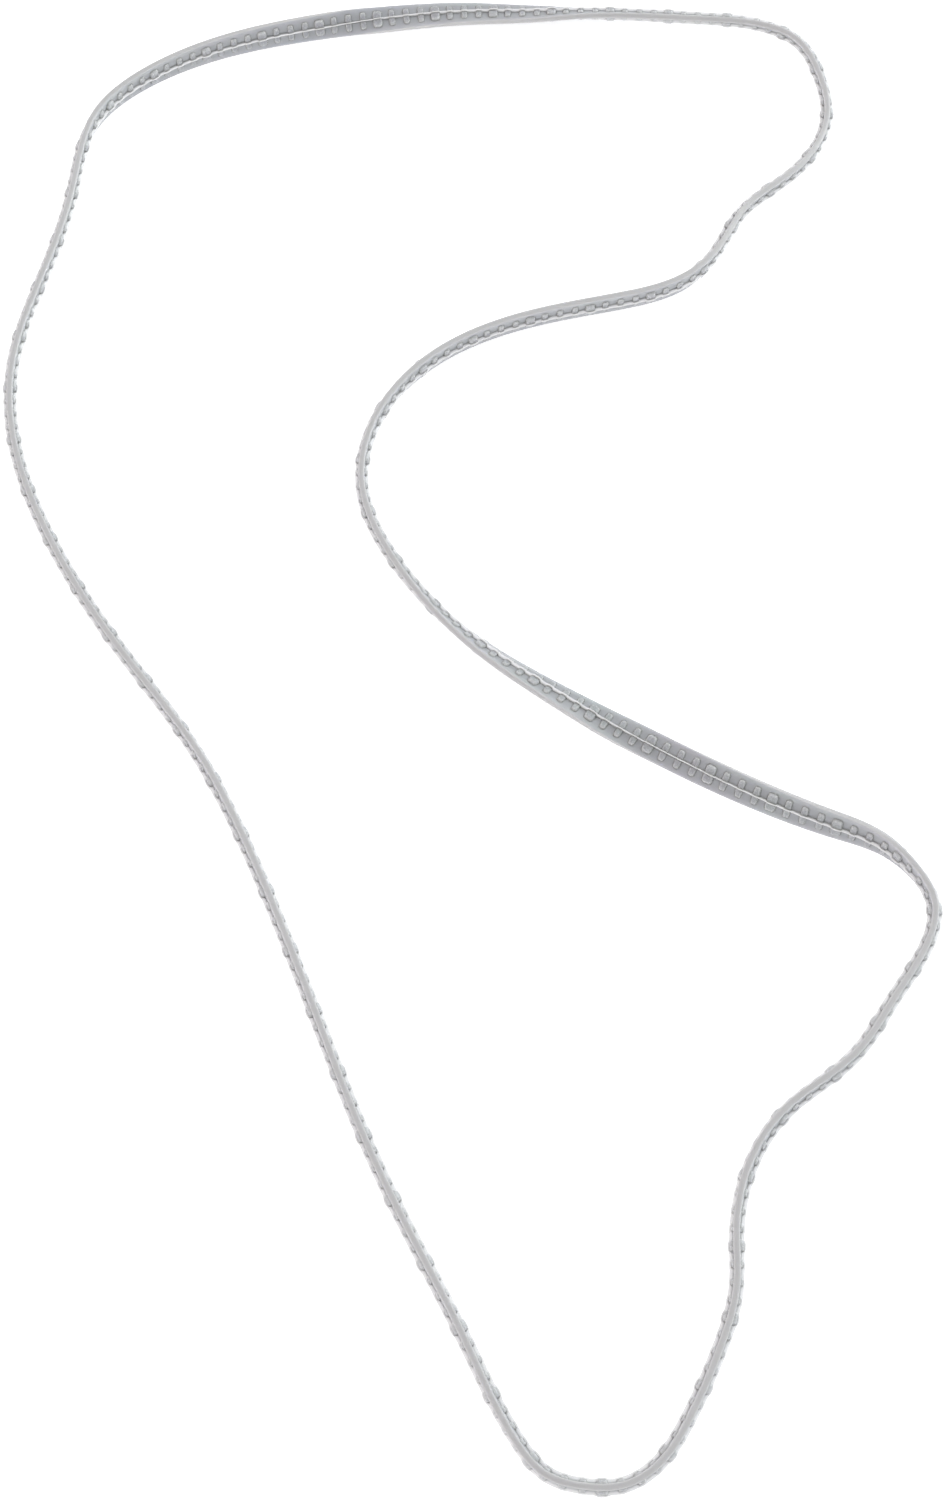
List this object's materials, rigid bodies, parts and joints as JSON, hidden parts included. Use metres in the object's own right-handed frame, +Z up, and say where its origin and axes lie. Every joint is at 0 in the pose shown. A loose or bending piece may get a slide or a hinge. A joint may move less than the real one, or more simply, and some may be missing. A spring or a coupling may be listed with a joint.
{
  "type": "timing belt",
  "caption": "Endless double-sided timing belt, lying loose on its edge as a wavy closed loop, with fine cross teeth on both faces and larger index lugs at regular steps.",
  "frame": {"origin": "centre of the free loop's bounding box, on the surface that the belt lies on", "axes": "+Z up, out of the surface; +Y along the loop's longest extent, towards its wide lobe; +X across it"},
  "size_m": [0.1393, 0.2569, 0.0046],
  "materials": {
    "web": "smooth translucent pale grey cast polyurethane, satin gloss",
    "teeth": "smooth translucent pale grey cast polyurethane, glossy moulded tips",
    "index_lugs": "smooth translucent pale grey cast polyurethane, glossy moulded tips",
    "cord": "twisted pale tension cord, seen only through the web"
  },
  "bodies": {
    "root": {"web_span_01": "web", "web_span_02": "web", "web_span_03": "web", "web_span_04": "web", "web_span_05": "web", "web_span_06": "web", "web_span_07": "web", "web_span_08": "web", "web_span_09": "web", "web_span_10": "web", "web_span_11": "web", "web_span_12": "web", "web_span_13": "web", "web_span_14": "web", "web_span_15": "web", "web_span_16": "web", "web_span_17": "web", "web_span_18": "web", "web_span_19": "web", "web_span_20": "web", "web_span_21": "web", "web_span_22": "web", "web_span_23": "web", "web_span_24": "web", "tension_cord": "cord", "outer_teeth": "teeth", "outer_index_lugs": "index_lugs", "inner_teeth": "teeth", "inner_index_lugs": "index_lugs"}
  },
  "joints": []
}
